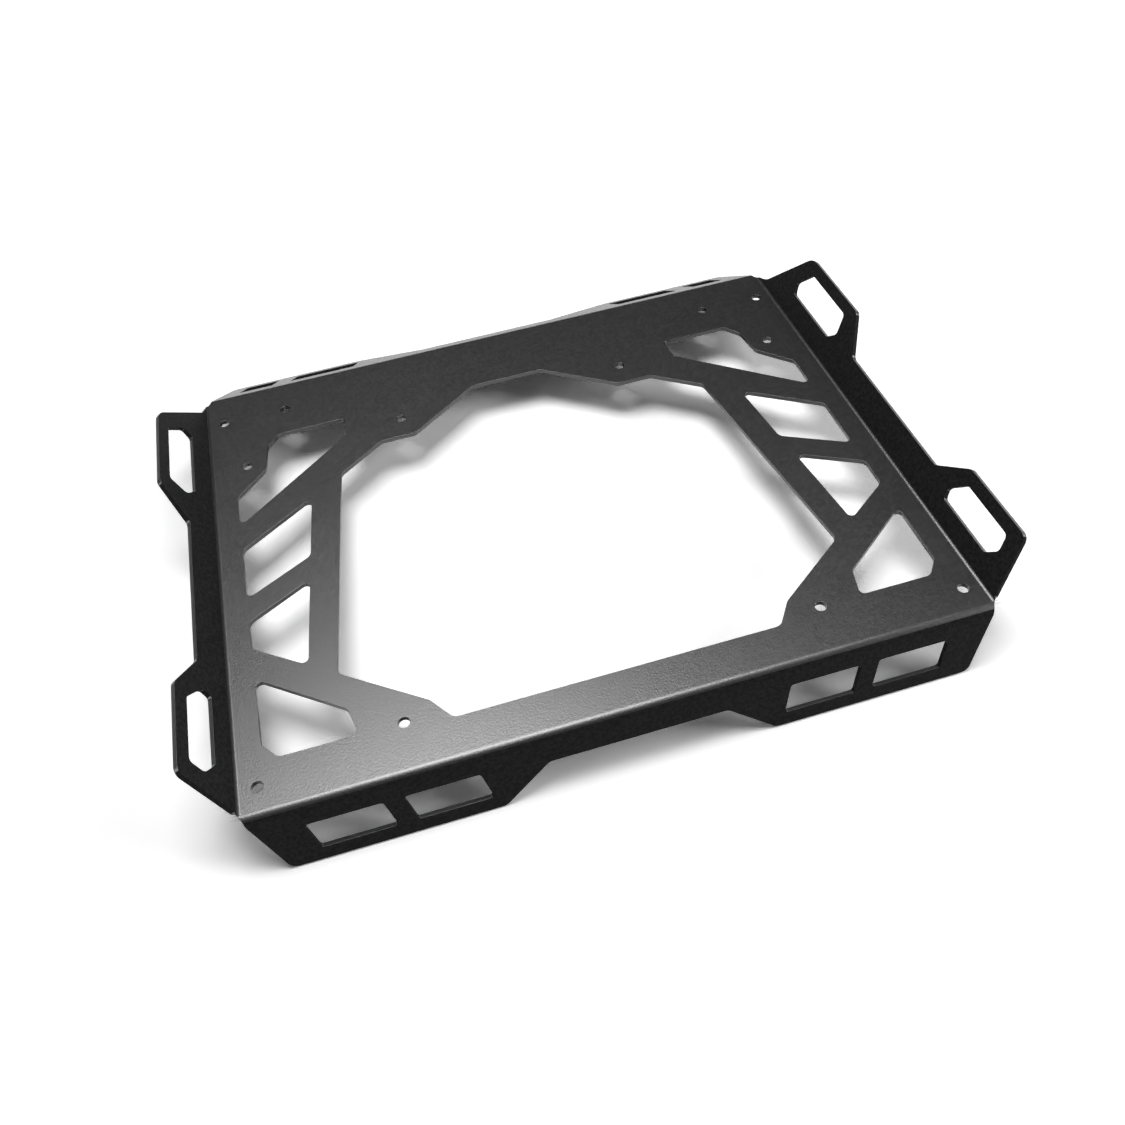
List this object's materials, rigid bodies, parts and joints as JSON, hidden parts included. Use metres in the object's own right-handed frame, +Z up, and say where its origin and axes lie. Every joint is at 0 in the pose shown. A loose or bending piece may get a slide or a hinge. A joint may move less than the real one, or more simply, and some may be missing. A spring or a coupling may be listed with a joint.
{
  "type": "motorcycle luggage rack plate",
  "caption": "Luggage plate for a motorcycle's tail, folded from one sheet: large central opening, angular cut-outs, upturned side wings and downturned flanges with strap slots.",
  "frame": {"origin": "on the underside of the deck, midway between the four corner bolt holes", "axes": "+X across the motorcycle, +Y from the steep flange towards the shallow one, which is taken as the rear, +Z up out of the deck"},
  "size_m": [0.4702, 0.3909, 0.0778],
  "materials": {
    "coated_sheet": "satin dark grey powder coat with a fine texture"
  },
  "bodies": {
    "root": {"carrier_plate": "coated_sheet"}
  },
  "joints": []
}
